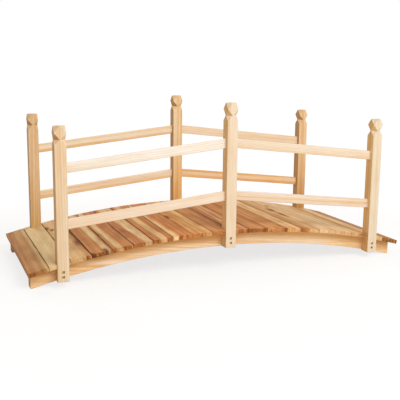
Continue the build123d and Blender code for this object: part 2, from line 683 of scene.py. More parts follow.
DECK_PINE = WoodFinish(
    name="deck_pine",
    sap_pale=(0.80, 0.58, 0.33),
    sap_deep=(0.70, 0.46, 0.235),
    heart_pale=(0.60, 0.28, 0.105),
    heart_deep=(0.45, 0.175, 0.06),
    ring_tint=(0.80, 0.65, 0.50),
    mottle_tint=(0.84, 0.75, 0.66),
    end_tint=(0.86, 0.77, 0.68),
    edge_tint=(0.34, 0.21, 0.13),
    stain=(0.15, 0.055, 0.018),
    knot=(0.12, 0.046, 0.017),
    halo_tint=(0.66, 0.50, 0.40),
    ring_width=5.2 * MM,
    ring_strength=0.75,
    roughness=0.62,
    shine=0.1,
)


@dataclass(frozen=True)
class MetalFinish:
    """Yellow-plated steel with a thin uneven film."""

    name: str
    bright: Colour
    dull: Colour
    roughness: Pair
    film: Patches = Patches((420.0, 420.0, 420.0), 3.0, (0.35, 0.65))

    def material(self) -> Material:
        """Build the node material.

        Returns:
            A metal whose tint and gloss vary over each head.
        """
        material, bench = new_material(self.name)
        place = bench.add("ShaderNodeTexCoord").outputs["Object"]
        film = bench.patches(place, self.film)
        values = {
            "Metallic": 1.0,
            "Base Color": bench.mix(film, self.bright, self.dull),
            "Roughness": bench.step(film, RISE, self.roughness),
        }
        bench.surface(bench.add("ShaderNodeBsdfPrincipled", values))
        return material


SCREW_PLATE = MetalFinish("screw_plate", (0.74, 0.57, 0.25), (0.42, 0.32, 0.16), (0.3, 0.5))


def link(thing: Object) -> None:
    """Put an object in the scene."""
    bpy.context.scene.collection.objects.link(thing)


def to_mesh(shape: BMesh, name: str) -> Mesh:
    """Turn a finished shape into a mesh.

    Args:
        shape: The shape, which is freed.
        name: The mesh's name.

    Returns:
        The new mesh.
    """
    mesh = bpy.data.meshes.new(name)
    shape.to_mesh(mesh)
    shape.free()
    return mesh


def show(piece: Object) -> Object:
    """Put a finished piece in the scene, on the bridge's one body.

    Args:
        piece: The object to show.

    Returns:
        The same object.
    """
    link(piece)
    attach(piece, ROOT)
    report.info("%s: %d faces", piece.name, len(piece.data.polygons))
    return piece


def write_vectors(mesh: Mesh, domain: Domain, vectors: dict[str, np.ndarray]) -> None:
    """Write vectors to a mesh as attributes.

    Args:
        mesh: The mesh to write to.
        domain: What the vectors belong to.
        vectors: The rows of each attribute, by its name.
    """
    for name, rows in vectors.items():
        attribute = mesh.attributes.new(name, "FLOAT_VECTOR", domain.value)
        attribute.data.foreach_set("vector", rows.astype(np.float32).ravel())


@dataclass
class Timber:
    """One length of wood, redrawn from its node with eased edges and its own grain.

    Slants and facings are cosines, and angles are in degrees.
    """

    node: str
    slot: Slot
    look: Look
    number: int
    tree_step: float = 1.7
    end_slant: float = 0.7
    carved_slant: float = 0.3
    carved_rings: float = 0.35
    facing_from: float = 0.2
    facing_full: float = 0.8
    # Tilts the painted shade from the left faces onto the faces that look down as well
    shade_lean: float = 0.6
    knot_stretch: float = 0.38
    knot_cover: float = 1.4
    weld: float = 0.01 * MM
    flat_angle: float = 0.1
    round_profile: float = 0.5
    crown: Arc | None = None
    thickness: float = 0.0
    shape: BMesh = field(init=False)
    axes: Axes = field(init=False)

    def __post_init__(self) -> None:
        """Copy the node's mesh, with its loose triangles joined into whole faces."""
        self.shape = bmesh.new()
        self.shape.from_mesh(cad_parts[self.node].data)
        bmesh.ops.remove_doubles(self.shape, verts=self.shape.verts, dist=self.weld)
        bmesh.ops.dissolve_limit(
            self.shape,
            angle_limit=math.radians(self.flat_angle),
            verts=self.shape.verts,
            edges=self.shape.edges,
        )

    def measure(self, across: Vector, along: Vector, through: Vector) -> None:
        """Set the piece's own directions and sizes."""
        self.axes = Axes.of(self.shape, across, along, through)

    def corner_edges(self, least_angle: float) -> list[BMEdge]:
        """Find the outer edges of the piece.

        Args:
            least_angle: The least angle between the two faces of an edge.

        Returns:
            The edges that stand out.
        """
        limit = math.radians(least_angle)
        outer = [edge for edge in self.shape.edges if edge.is_manifold and edge.is_convex]
        return [edge for edge in outer if edge.calc_face_angle(0.0) > limit]

    def ease(self, edges: list[BMEdge], width: float, segments: int = 2) -> None:
        """Round edges over.

        Args:
            edges: The edges to round.
            width: How far the rounding reaches from the edge.
            segments: Faces across the rounding.
        """
        made = bmesh.ops.bevel(
            self.shape,
            geom=edges,
            offset=width,
            offset_type="OFFSET",
            segments=segments,
            profile=self.round_profile,
            affect="EDGES",
            clamp_overlap=True,
        )
        for face in made["faces"]:
            face.smooth = True

    def slice(self, direction: Vector, distances: np.ndarray) -> None:
        """Divide the faces along planes, so that they can bend or carry a curve.

        Args:
            direction: The direction square to the planes.
            distances: How far along it each plane lies from the piece's centre.
        """
        for distance in distances:
            geometry = [*self.shape.verts, *self.shape.edges, *self.shape.faces]
            point = self.axes.centre + direction * distance
            bmesh.ops.bisect_plane(self.shape, geom=geometry, plane_co=point, plane_no=direction)

    def turn(self) -> np.ndarray:
        """The piece's three directions, one in each row."""
        return np.array([self.axes.across, self.axes.along, self.axes.through])

    def shares_along(self, places: np.ndarray) -> np.ndarray:
        """How far along the piece points lie, from 0 to 1."""
        return places[:, 1] / self.axes.length + 0.5

    def edge_distances(self, band: Band | None, places: np.ndarray) -> np.ndarray:
        """How far points lie inside the two edges of a band, and its strength.

        Args:
            band: The band, or None for a piece that has none.
            places: Points across, along and through the piece from its centre.

        Returns:
            One row for each point.
        """
        if band is None:
            return np.zeros_like(places)
        width = self.axes.width
        across = places[:, 0] / width + 0.5
        # Bands that follow a stringer's curve paint the shade under the deck
        if self.crown and not band.straight:
            width = self.thickness
            across = 1.0 - self.crown.depth(places @ self.turn() + np.array(self.axes.centre)) / width
        along = self.shares_along(places)
        left = band.left_near + (band.left_far - band.left_near) * along
        right = band.right_near + (band.right_far - band.right_near) * along
        strengths = np.full(len(places), band.strength)
        return np.column_stack(((across - left) * width, (right - across) * width, strengths))

    def knot_offsets(self, knot: Knot | None, places: np.ndarray) -> np.ndarray:
        """How far points lie from a knot across and along the grain, and its radius.

        Args:
            knot: The knot, or None for a piece that has none.
            places: Points across, along and through the piece from its centre.

        Returns:
            One row for each point.
        """
        if knot is None:
            return np.zeros_like(places) + NO_KNOT
        across = places[:, 0] - (knot.across_share - 0.5) * self.axes.width
        along = places[:, 1] - (knot.along_share - 0.5) * self.axes.length
        if knot.buried:
            across = np.hypot(across, self.knot_cover * knot.radius)
        return np.column_stack((across, along * self.knot_stretch, np.full(len(places), knot.radius)))

    def tints(self, normals: np.ndarray, direction: Vector, tone: Colour) -> np.ndarray:
        """The tints of faces that look against a direction.

        Args:
            normals: The faces' normals, one in each row.
            direction: The direction that they may look against.
            tone: The tint of a face that does so fully.

        Returns:
            One colour in each row, white where a face looks elsewhere.
        """
        against = -normals @ np.array(direction)
        shares = (against - self.facing_from) / (self.facing_full - self.facing_from)
        return 1.0 + np.clip(shares, 0.0, 1.0)[:, None] * (np.array(tone) - 1.0)

    def point_vectors(self, mesh: Mesh) -> dict[str, np.ndarray]:
        """Where each point lies in the tree, and among the bands and knots.

        Args:
            mesh: The finished mesh of the piece.

        Returns:
            The rows of each attribute, by its name.
        """
        look = self.look
        points = np.empty(len(mesh.vertices) * 3, np.float32)
        mesh.vertices.foreach_get("co", points)
        places = (points.reshape(-1, 3) - np.array(self.axes.centre)) @ self.turn().T
        log = places.copy()
        log[:, 0] -= look.pith[0] + look.lean[0] * places[:, 1]
        log[:, 2] -= look.pith[1] + look.lean[1] * places[:, 1]
        log[:, 1] += self.number * self.tree_step
        half_width = self.axes.width / 2
        gaps = (half_width + places[:, 0], half_width - places[:, 0])
        vectors = {
            "log": log,
            "edge_gaps": np.column_stack((*gaps, self.shares_along(places))),
            "stain": self.edge_distances(look.stain, places),
        }
        for name, band in zip_longest(BAND_NAMES, look.bands):
            vectors[name] = self.edge_distances(band, places)
        for name, knot in zip_longest(KNOT_NAMES, look.knots):
            vectors[name] = self.knot_offsets(knot, places)
        return vectors

    def face_vectors(self, mesh: Mesh) -> dict[str, np.ndarray]:
        """The grain, the tints and the edge lines of each face.

        Args:
            mesh: The finished mesh of the piece.

        Returns:
            The rows of each attribute, by its name.
        """
        look = self.look
        axes = self.axes
        normals = np.array([face.normal for face in mesh.polygons])
        slants = abs(normals @ np.array(axes.along))[:, None]
        ends = slants > self.end_slant
        carved = (slants > self.carved_slant) & ~ends
        plain = np.ones_like(normals)
        grain = plain * (look.streaks, look.rings, look.gold)
        # Painted shade on faces that look left or down, painted light on faces that look to the front
        shade = self.tints(normals, axes.across + axes.along * self.shade_lean, look.left_tone)
        shade *= self.tints(normals, axes.through, look.front_tone)
        # Strengths of the lines on the left and right edges, and 1 on end grain
        borders = np.where(ends, (0.0, 0.0, 1.0), plain * (*look.edges, 0.0))
        return {
            "grain": np.where(carved, grain * (1.0, self.carved_rings, 1.0), grain),
            "tone": np.where(ends, look.end_tone, shade) * look.tone,
            "foot_tone": self.tints(normals, axes.through, look.foot_tone),
            "borders": borders,
        }

    def finish(self, material: Material) -> Object:
        """Turn the shape into a piece of the scene that stands for its node.

        Args:
            material: The wood that it is made of.

        Returns:
            The new object.
        """
        bmesh.ops.dissolve_degenerate(self.shape, dist=self.weld, edges=self.shape.edges)
        self.shape.normal_update()
        mesh = to_mesh(self.shape, f"{self.node}_timber")
        mesh.materials.append(material)
        write_vectors(mesh, Domain.POINT, self.point_vectors(mesh))
        write_vectors(mesh, Domain.FACE, self.face_vectors(mesh))
        piece = show(bpy.data.objects.new(mesh.name, mesh))
        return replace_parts(piece, self.node)


STRINGER_LOOKS = {
    Side.FRONT: Look(
        tone=(1.17, 1.2, 1.25), pith=(-25 * MM, 62 * MM), lean=(-0.09, 0.012),
        # The two bands that follow the curve are painted shade under the deck; the straight band is the
        # lower heartwood, and its widening towards the right end is painted shade
        bands=(
            Band.to_right(0.38, 0.38, 0.6),
            Band.to_right(0.62, 0.62, 0.85),
            Band.from_left(0.4, 0.52, 0.62, straight=True),
        ),
        streaks=1.2, rings=1.3, gold=0.35, end_tone=(0.5, 0.42, 0.36),
    ),
    Side.BACK: Look(
        tone=(0.98, 0.94, 0.86), pith=(35 * MM, 70 * MM), lean=(-0.02, 0.01),
        # The band follows the curve: painted shade under the deck; the dark end tone is painted shade on
        # the end faces
        bands=(Band.to_right(0.4, 0.4, 0.5),), rings=1.3, gold=0.5, end_tone=(0.4, 0.32, 0.26),
    ),
}

# Left tones are painted shade on faces that look left or down, front tones painted light, foot tones
# painted shade and warm bounce light towards the foot
POST_LOOKS = {
    "front_left": Look(
        tone=(0.99, 1.02, 1.05), pith=(-60 * MM, 90 * MM), bands=(Band(0.2, 0.15, 0.5, 0.42, 0.2),),
        gold=0.1, left_tone=(0.72, 0.55, 0.34),
    ),
    "front_middle": Look(tone=(0.98, 1.02, 1.08), pith=(90 * MM, 70 * MM), left_tone=(0.99, 0.85, 0.6)),
    "front_right": Look(
        tone=(1.0, 0.98, 0.92), pith=(75 * MM, -80 * MM), left_tone=(1.0, 0.91, 0.69),
        # Painted light on the front faces
        front_tone=(0.95, 1.06, 1.23),
    ),
    "back_left": Look(
        tone=(0.93, 0.91, 0.87), pith=(-20 * MM, 20 * MM), lean=(0.02, 0.0),
        bands=(Band(0.58, 0.52, 0.92, 0.88, 0.4),), streaks=1.3, rings=1.6, gold=0.3,
        left_tone=(0.66, 0.6, 0.5), foot_tone=(0.93, 0.85, 0.63),
    ),
    "back_middle": Look(
        tone=(1.03, 1.05, 1.02), pith=(24 * MM, 22 * MM), bands=(Band.to_right(0.62, 0.56, 0.45),),
        streaks=1.2, rings=1.5, gold=0.3, left_tone=(0.67, 0.53, 0.32), foot_tone=(1.02, 0.82, 0.46),
    ),
    "back_right": Look(
        tone=(0.98, 0.91, 0.81), pith=(-65 * MM, 60 * MM), bands=(Band(0.3, 0.4, 0.6, 0.65, 0.2),),
        streaks=1.2, rings=1.3, gold=0.12, left_tone=(0.71, 0.66, 0.56), foot_tone=(0.67, 0.5, 0.21),
    ),
}

RAIL_LOOKS = {
    "front_left_upper": Look(
        tone=(1.06, 1.25, 1.57), pith=(60 * MM, 80 * MM), bands=(Band.from_left(0.42, -0.5, 0.3),),
        streaks=0.6,
    ),
    "front_left_lower": Look(
        tone=(1.05, 1.12, 1.27), pith=(-75 * MM, 65 * MM), bands=(Band.from_left(0.32, -0.2, 0.25),),
        streaks=0.8,
    ),
    "front_right_upper": Look(
        tone=(0.98, 1.03, 1.12), pith=(80 * MM, 60 * MM), bands=(Band.from_left(0.34, 0.2, 0.3),),
    ),
    "front_right_lower": Look(
        tone=(1.01, 1.08, 1.28), pith=(-60 * MM, 75 * MM), bands=(Band(0.34, 0.36, 0.58, 0.58, 0.65),),
    ),
    "back_left_upper": Look(
        tone=(1.06, 1.15, 1.27), pith=(70 * MM, 70 * MM),
        bands=(Band.from_left(0.34, 0.2, 0.8), Band.to_right(0.84, 0.82, 0.55)), streaks=0.8,
    ),
    # Its tone is lifted as painted light, where the near parts shade this rail
    "back_left_lower": Look(
        tone=(1.1, 1.18, 1.28), pith=(-65 * MM, 85 * MM), bands=(Band.from_left(0.42, 0.3, 0.8),),
    ),
    "back_right_upper": Look(tone=(1.03, 1.06, 1.08), pith=(55 * MM, 75 * MM)),
    "back_right_lower": Look(
        tone=(1.04, 0.98, 0.89), pith=(-85 * MM, 60 * MM),
        bands=(Band.from_left(0.38, 0.34, 0.8), Band.to_right(0.76, 0.78, 0.75)),
    ),
}

# From the left end of the deck to the right one
BOARD_LOOKS = (
    Look(
        tone=(0.93, 0.96, 0.85), pith=(20 * MM, -70 * MM),
        bands=(Band.from_left(0.45, 0.4, 0.9), Band(0.3, 0.3, 0.88, 0.82, 0.68)), rings=0.6,
        edges=(0.5, 0.7), end_tone=(0.95, 0.98, 1.04),
    ),
    Look(
        tone=(1.08, 1.17, 1.18), pith=(-60 * MM, -80 * MM), bands=(Band.to_right(0.72, 0.66, 0.24),),
        streaks=0.6, rings=0.35, edges=(0.3, 0.6), end_tone=(1.1, 1.1, 1.15),
    ),
    Look(
        tone=(1.04, 1.03, 0.97), pith=(70 * MM, -40 * MM), bands=(Band(0.76, 0.7, 0.94, 1.3, 0.8),),
        stain=Band.to_right(0.99, 0.79, 0.95),
        knots=(Knot(0.03, 0.81, 6 * MM), Knot(0.24, 0.74, 4.5 * MM), Knot(0.99, 0.31, 11 * MM)),
        edges=(0.8, 0.9),
    ),
    Look(
        tone=(1.03, 1.05, 1.0), pith=(-40 * MM, -60 * MM),
        bands=(Band.from_left(0.61, 0.57), Band.to_right(0.9, 0.88, 0.9)),
        knots=(Knot(0.7, 0.024, 6 * MM), Knot(0.76, 0.0, 2.6 * MM), Knot(0.05, 0.0, 4.5 * MM)),
        edges=(0.9, 0.8), end_tone=(0.83, 0.87, 0.9),
    ),
    Look(
        tone=(1.08, 1.11, 1.07), pith=(50 * MM, -65 * MM),
        bands=(Band(0.5, 0.33, 0.97, 0.97), Band.from_left(0.16, 0.1, 0.9)),
        knots=(Knot(0.08, 0.36, 6 * MM, buried=True), Knot(0.2, 0.0, 6 * MM, buried=True)),
        edges=(0.9, 0.9), end_tone=(0.89, 0.81, 0.76),
    ),
    Look(
        tone=(1.09, 1.1, 1.1), pith=(-30 * MM, -75 * MM),
        bands=(Band.from_left(0.6, 0.2), Band.to_right(0.93, 0.93, 0.8)),
        knots=(Knot(0.2, 0.33, 8 * MM, buried=True),), edges=(0.9, 0.8), end_tone=(0.94, 0.97, 1.02),
    ),
    Look(
        tone=(1.1, 1.1, 1.04), pith=(60 * MM, -50 * MM),
        bands=(Band.from_left(0.38, 0.24), Band(0.7, 0.5, 0.97, 1.0)), edges=(0.8, 0.9),
    ),
    Look(
        tone=(1.27, 1.27, 1.24), pith=(-125 * MM, -12 * MM), bands=(Band.to_right(0.26, 0.14),),
        edges=(0.6, 0.4), end_tone=(1.3, 1.52, 1.8),
    ),
    Look(
        tone=(1.19, 1.1, 0.89), pith=(35 * MM, -85 * MM), bands=(Band.from_left(0.68, 0.62, 0.52),),
        knots=(Knot(0.03, 0.5, 7.5 * MM),), edges=(0.4, 0.6), end_tone=(0.97, 0.88, 0.92),
    ),
    Look(
        tone=(1.15, 1.13, 1.07), pith=(-55 * MM, -60 * MM), bands=(Band.whole(0.85),),
        stain=Band.to_right(0.72, 0.8, 0.46), edges=(0.6, 0.9),
    ),
    Look(
        tone=(0.98, 0.84, 0.77), pith=(65 * MM, -55 * MM),
        bands=(
            Band.from_left(0.16, 0.42, 0.85),
            Band(0.4, 0.56, 0.68, 0.5, 0.85),
            Band.to_right(0.78, 0.8, 0.7),
        ),
        edges=(0.8, 0.8), end_tone=(0.88, 0.77, 0.66),
    ),
    Look(
        tone=(1.14, 1.14, 1.05), pith=(110 * MM, -8 * MM), bands=(Band.whole(0.95),), edges=(0.9, 0.5),
        end_tone=(0.8, 0.81, 0.86),
    ),
    Look(
        tone=(1.14, 1.09, 0.98), pith=(-100 * MM, -15 * MM), bands=(Band.whole(0.8),),
        knots=(Knot(1.0, 0.07, 4.5 * MM),), edges=(0.5, 0.7), end_tone=(1.25, 1.3, 1.5),
    ),
    Look(
        tone=(1.13, 1.12, 1.08), pith=(-70 * MM, -40 * MM),
        bands=(Band.from_left(0.12, 0.1, 0.8), Band.to_right(0.88, 0.9, 0.6)), streaks=1.3,
        edges=(0.6, 0.5), end_tone=(1.2, 1.1, 0.98),
    ),
    Look(
        tone=(1.0, 0.93, 0.86), pith=(40 * MM, -80 * MM),
        bands=(Band.from_left(0.5, 0.2, 0.5), Band.from_left(0.36, -1.4)),
        knots=(Knot(0.79, 0.62, 9 * MM), Knot(0.94, 0.47, 9 * MM)), edges=(0.5, 0.3),
        end_tone=(1.22, 1.32, 1.45),
    ),
    Look(
        tone=(1.1, 1.1, 1.15), pith=(-65 * MM, -50 * MM), knots=(Knot(0.16, 0.78, 4 * MM),),
        edges=(0.3, 0.3), end_tone=(1.12, 1.2, 1.3),
    ),
    Look(
        tone=(1.12, 1.18, 1.27), pith=(30 * MM, -75 * MM), edges=(0.2, 0.2),
        end_tone=(1.03, 0.95, 0.87),
    ),
    Look(
        tone=(1.06, 1.04, 1.0), pith=(-50 * MM, -65 * MM), bands=(Band(0.45, 0.6, 1.2, 1.0, 0.6),),
        edges=(0.3, 0.5),
    ),
    Look(
        tone=(1.22, 1.32, 1.34), pith=(75 * MM, -45 * MM), bands=(Band.to_right(0.68, 0.65, 0.4),),
        edges=(0.5, 0.6), end_tone=(1.2, 1.4, 1.68),
    ),
    Look(
        tone=(0.96, 0.97, 0.96), pith=(-35 * MM, -80 * MM), bands=(Band.whole(0.9),), edges=(0.6, 0.4),
        end_tone=(1.12, 1.38, 1.48),
    ),
)


@dataclass
class Stringers:
    """The two curved beams under the deck, sawn from straight planks."""

    edge_radius: float = 1.5 * MM
    corner_angle: float = 35.0
    height: float = 47 * MM
    slices: int = 40
    looks: dict[Side, Look] = field(default_factory=lambda: STRINGER_LOOKS)

    def build(self, wood: Material) -> None:
        """Make both stringers.

        Args:
            wood: The frame's wood.
        """
        for number, (side, look) in enumerate(self.looks.items()):
            beam = Timber(f"{side.word}_stringer", Slot.FRAME_WOOD, look, number)
            beam.measure(Z_AXIS, X_AXIS, Y_AXIS)
            beam.crown = Arc.over(beam.shape)
            beam.thickness = self.height
            beam.ease(beam.corner_edges(self.corner_angle), self.edge_radius)
            shares = np.linspace(-0.5, 0.5, self.slices + 1)[1:-1]
            beam.slice(X_AXIS, shares * beam.axes.length)
            beam.finish(wood)


@dataclass
class Posts:
    """The six square posts with their carved heads."""

    edge_radius: float = 1.2 * MM
    head_radius: float = 0.5 * MM
    head_faces: int = 1
    head_height: float = 61 * MM
    corner_angle: float = 20.0
    near: float = 0.05 * MM
    trees_before: int = 10
    looks: dict[str, Look] = field(default_factory=lambda: POST_LOOKS)

    def build(self, wood: Material) -> None:
        """Make all six posts.

        Args:
            wood: The frame's wood.
        """
        for number, (place, look) in enumerate(self.looks.items(), start=self.trees_before):
            post = Timber(f"{place}_post", Slot.FRAME_WOOD, look, number)
            post.measure(X_AXIS, Z_AXIS, Y_AXIS)
            self.ease_post(post)
            post.finish(wood)

    def ease_post(self, post: Timber) -> None:
        """Round a post's long corners and foot, and soften the cuts of its head.

        Args:
            post: The post to work on.
        """
        axes = post.axes
        shoulder = axes.length / 2 - self.head_height
        foot = -axes.length / 2
        corners = []
        head = []
        for edge in post.corner_edges(self.corner_angle):
            ends = [axes.local(vert.co) for vert in edge.verts]
            at_corner = all(
                abs(end.x) > axes.width / 2 - self.near and abs(end.z) > axes.depth / 2 - self.near
                for end in ends
            )
            if min(end.y for end in ends) >= shoulder - self.near:
                head.append(edge)
            elif at_corner or max(end.y for end in ends) < foot + self.near:
                corners.append(edge)
        post.ease(corners, self.edge_radius)
        post.ease([edge for edge in head if edge.is_valid], self.head_radius, self.head_faces)


@dataclass
class Rails:
    """The eight straight rails, two to a bay, with their ends housed in the posts."""

    edge_radius: float = 1.8 * MM
    edge_faces: int = 3
    corner_angle: float = 35.0
    trees_before: int = 20
    looks: dict[str, Look] = field(default_factory=lambda: RAIL_LOOKS)

    def build(self, wood: Material) -> None:
        """Make all eight rails.

        Args:
            wood: The frame's wood.
        """
        for number, (place, look) in enumerate(self.looks.items(), start=self.trees_before):
            rail = Timber(f"{place}_rail", Slot.FRAME_WOOD, look, number)
            longest = max(rail.shape.edges, key=lambda edge: edge.calc_length())
            slope = (longest.verts[1].co - longest.verts[0].co).normalized()
            along = slope if slope.x > 0 else -slope
            up = Vector((-along.z, 0.0, along.x))
            rail.measure(up, along, Y_AXIS)
            corners = rail.corner_edges(self.corner_angle)
            sides = [edge for edge in corners if edge.calc_length() > rail.axes.length / 2]
            rail.ease(sides, self.edge_radius, self.edge_faces)
            rail.finish(wood)


@dataclass
class Deck:
    """The twenty cross boards, from the left end to the right one.

    Each board is a little twisted and uneven at its sawn ends.  On the arch, the
    boards close up at the bottom, so each one's lower right edge reaches further.
    """

    edge_radius: float = 0.8 * MM
    corner_angle: float = 50.0
    top_cosine: float = 0.9
    end_depth: float = 4 * MM
    end_wave: float = 2.0 * MM
    wave_length: float = 26 * MM
    most_lift: float = 0.6 * MM
    most_twist: float = 0.4 * MM
    arris_reach: float = 1.3 * MM
    near: float = 0.05 * MM
    strips: int = 9
    lengths: int = 5
    trees_before: int = 30
    looks: tuple[Look, ...] = BOARD_LOOKS

    @staticmethod
    def node(number: int) -> str:
        """The node of a board, counted from the left end."""
        return f"deck_board_{number:02d}"

    def build(self, wood: Material) -> None:
        """Make all the boards.

        Args:
            wood: The deck's wood.
        """
        for number, look in enumerate(self.looks, start=1):
            board = Timber(self.node(number), Slot.DECK_WOOD, look, self.trees_before + number)
            faces = [face for face in board.shape.faces if face.normal.z > self.top_cosine]
            up = max(faces, key=lambda face: face.calc_area()).normal.copy()
            board.measure(Vector((up.z, 0.0, -up.x)), Y_AXIS, up)
            board.ease(board.corner_edges(self.corner_angle), self.edge_radius)
            self.cut(board)
            self.warp(board)
            board.finish(wood)

    def cut(self, board: Timber) -> None:
        """Divide a board lengthwise and across, so that it can warp.

        Args:
            board: The board to divide.
        """
        axes = board.axes
        shares_across = np.linspace(-0.5, 0.5, self.strips + 1)[1:-1]
        shares_along = np.linspace(-0.5, 0.5, self.lengths + 1)
        board.slice(axes.across, shares_across * axes.width)
        board.slice(axes.along, shares_along * (axes.length - 2 * self.end_depth))

    def warp(self, board: Timber) -> None:
        """Lift and twist a board a little, close its gap and make its sawn ends uneven.

        Args:
            board: The board to warp.
        """
        axes = board.axes
        half_length = axes.length / 2
        draw = np.random.default_rng(board.number)
        lift = draw.uniform(0.0, self.most_lift)
        twist = draw.uniform(-self.most_twist, self.most_twist)
        trims = draw.uniform(0.0, self.end_wave, 2)
        last = board.node == self.node(len(self.looks))
        if last or board.node == self.node(1):
            lift = 0.0
            twist = 0.0
        for vert in board.shape.verts:
            place = axes.local(vert.co)
            along = place.y / half_length
            across = 2 * place.x / axes.width
            if half_length - abs(place.y) < self.end_depth / 2:
                wave = Vector((place.x / self.wave_length, board.number, along))
                inward = trims[int(along > 0)] + self.end_wave * (0.5 + 0.5 * noise.noise(wave))
                place.y -= math.copysign(inward, along)
            if place.x > axes.width / 2 - self.near and not last:
                place.x += self.arris_reach * (0.5 - place.z / axes.depth)
            place.z += lift + abs(twist) + twist * across * along
            vert.co = axes.world(place)


@dataclass
class PostScrews:
    """Two cross-head screws in the foot of every post, set by Geometry Nodes.

    A head is drawn in shares of its radius.
    """

    levels: Pair = (17 * MM, 33 * MM)
    recess_depth: float = 4 * MM
    head_radius: float = 4.3 * MM
    rim_share: float = 0.28
    dome_share: float = 0.22
    slot_share: float = 0.62
    slot_width_share: float = 0.17
    slot_depth_share: float = 0.42
    slot_taper: float = 0.55
    sides: int = 24
    spin_seed: int = 7

    def head(self) -> Object:
        """One screw head of radius 1, with its seat at the origin, facing up.

        Returns:
            An object that isn't in the scene.
        """
        shape = bmesh.new()
        rim = []
        for count in range(self.sides):
            angle = 2 * math.pi * count / self.sides
            rim.append(shape.verts.new((math.cos(angle), math.sin(angle), self.rim_share)))
        reach = self.slot_share
        half = self.slot_width_share
        cross = []
        for turn in range(4):
            spin = Matrix.Rotation(turn * math.pi / 2, 4, "Z")
            for x, y in ((half, -half), (reach, -half), (reach, half)):
                cross.append(shape.verts.new(spin @ Vector((x, y, self.rim_share))))
        loops = (rim, cross)
        edges = [shape.edges.new((loop[i - 1], loop[i])) for loop in loops for i in range(len(loop))]
        bmesh.ops.triangle_fill(shape, edges=edges, use_beauty=True, normal=Z_AXIS)
        for vert in shape.verts:
            vert.co.z += self.dome_share * (1 - vert.co.x**2 - vert.co.y**2)
        floor = []
        for vert in cross:
            x = vert.co.x * self.slot_taper
            y = vert.co.y * self.slot_taper
            floor.append(shape.verts.new((x, y, vert.co.z - self.slot_depth_share)))
        seat = [shape.verts.new((vert.co.x, vert.co.y, 0.0)) for vert in rim]
        for upper, lower in ((cross, floor), (rim, seat)):
            for i in range(len(upper)):
                shape.faces.new((upper[i - 1], upper[i], lower[i], lower[i - 1]))
        shape.faces.new(floor)
        shape.faces.new(seat)
        bmesh.ops.recalc_face_normals(shape, faces=shape.faces)
        return bpy.data.objects.new("screw_head", to_mesh(shape, "screw_head"))

    def seats(self) -> Object:
        """The places of all the screws, with the direction that each one faces.

        Returns:
            An object of loose points.
        """
        points = []
        facings = []
        for side in Side:
            for place in ("left", "middle", "right"):
                low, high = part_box(f"{side.word}_{place}_post")
                middle = (low.x + high.x) / 2
                outer = low.y if side is Side.FRONT else high.y
                floor = outer - side.value * self.recess_depth
                for level in self.levels:
                    points.append((middle, floor, low.z + level))
                    facings.append((0.0, side.value, 0.0))
        mesh = bpy.data.meshes.new("post_screws")
        mesh.from_pydata(points, [], [])
        write_vectors(mesh, Domain.POINT, {"facing": np.array(facings)})
        return bpy.data.objects.new("post_screws", mesh)

    def tree(self) -> NodeTree:
        """The node group that sets a head on every seat, each turned its own way.

        Returns:
            A group with inputs for the head, its radius, the seed of its spin and its finish.
        """
        group = bpy.data.node_groups.new("screws_on_seats", "GeometryNodeTree")
        inputs = {
            "Seats": "NodeSocketGeometry",
            "Head": "NodeSocketObject",
            "Head radius": "NodeSocketFloat",
            "Spin seed": "NodeSocketInt",
            "Finish": "NodeSocketMaterial",
        }
        for name, kind in inputs.items():
            group.interface.new_socket(name, in_out="INPUT", socket_type=kind)
        group.interface.new_socket("Screws", in_out="OUTPUT", socket_type="NodeSocketGeometry")
        bench = NodeBench(group)
        given = bench.add("NodeGroupInput").outputs

        named = bench.add("GeometryNodeInputNamedAttribute", {"Name": "facing"}, data_type="FLOAT_VECTOR")
        facing = named.outputs["Attribute"]
        aligned = bench.add("FunctionNodeAlignRotationToVector", {"Vector": facing}, axis="Z").outputs[0]
        # Input 3 is the largest number that may be drawn
        draw = {3: math.pi, "Seed": given["Spin seed"]}
        angle = bench.add("FunctionNodeRandomValue", draw, data_type="FLOAT").outputs[1]
        spin = bench.add("FunctionNodeAxisAngleToRotation", {"Axis": Z_AXIS, "Angle": angle}).outputs[0]
        turns = {"Rotation": aligned, "Rotate By": spin}
        turned = bench.add("FunctionNodeRotateRotation", turns, rotation_space="LOCAL").outputs[0]

        head = bench.add("GeometryNodeObjectInfo", {"Object": given["Head"]}).outputs["Geometry"]
        heads = bench.add(
            "GeometryNodeInstanceOnPoints",
            {"Points": given["Seats"], "Instance": head, "Rotation": turned, "Scale": given["Head radius"]},
        )
        solid = bench.add("GeometryNodeRealizeInstances", {"Geometry": heads.outputs[0]}).outputs[0]
        dressed = bench.add("GeometryNodeSetMaterial", {"Geometry": solid, "Material": given["Finish"]})
        bench.add("NodeGroupOutput", {"Screws": dressed.outputs[0]})
        return group

    def build(self, metal: Material) -> None:
        """Set all the screws as one plain mesh.

        Args:
            metal: The finish of the heads.
        """
        group = self.tree()
        head = self.head()
        seats = self.seats()
        link(seats)
        modifier = seats.modifiers.new("screws", "NODES")
        modifier.node_group = group
        values = {
            "Head": head,
            "Head radius": self.head_radius,
            "Spin seed": self.spin_seed,
            "Finish": metal,
        }
        for item in group.interface.items_tree:
            if item.name in values:
                modifier[item.identifier] = values[item.name]
        evaluated = seats.evaluated_get(bpy.context.evaluated_depsgraph_get())
        mesh = bpy.data.meshes.new_from_object(evaluated)
        bpy.data.objects.remove(seats)
        bpy.data.objects.remove(head)
        mesh.name = "post_screws"
        show(bpy.data.objects.new("post_screws", mesh))


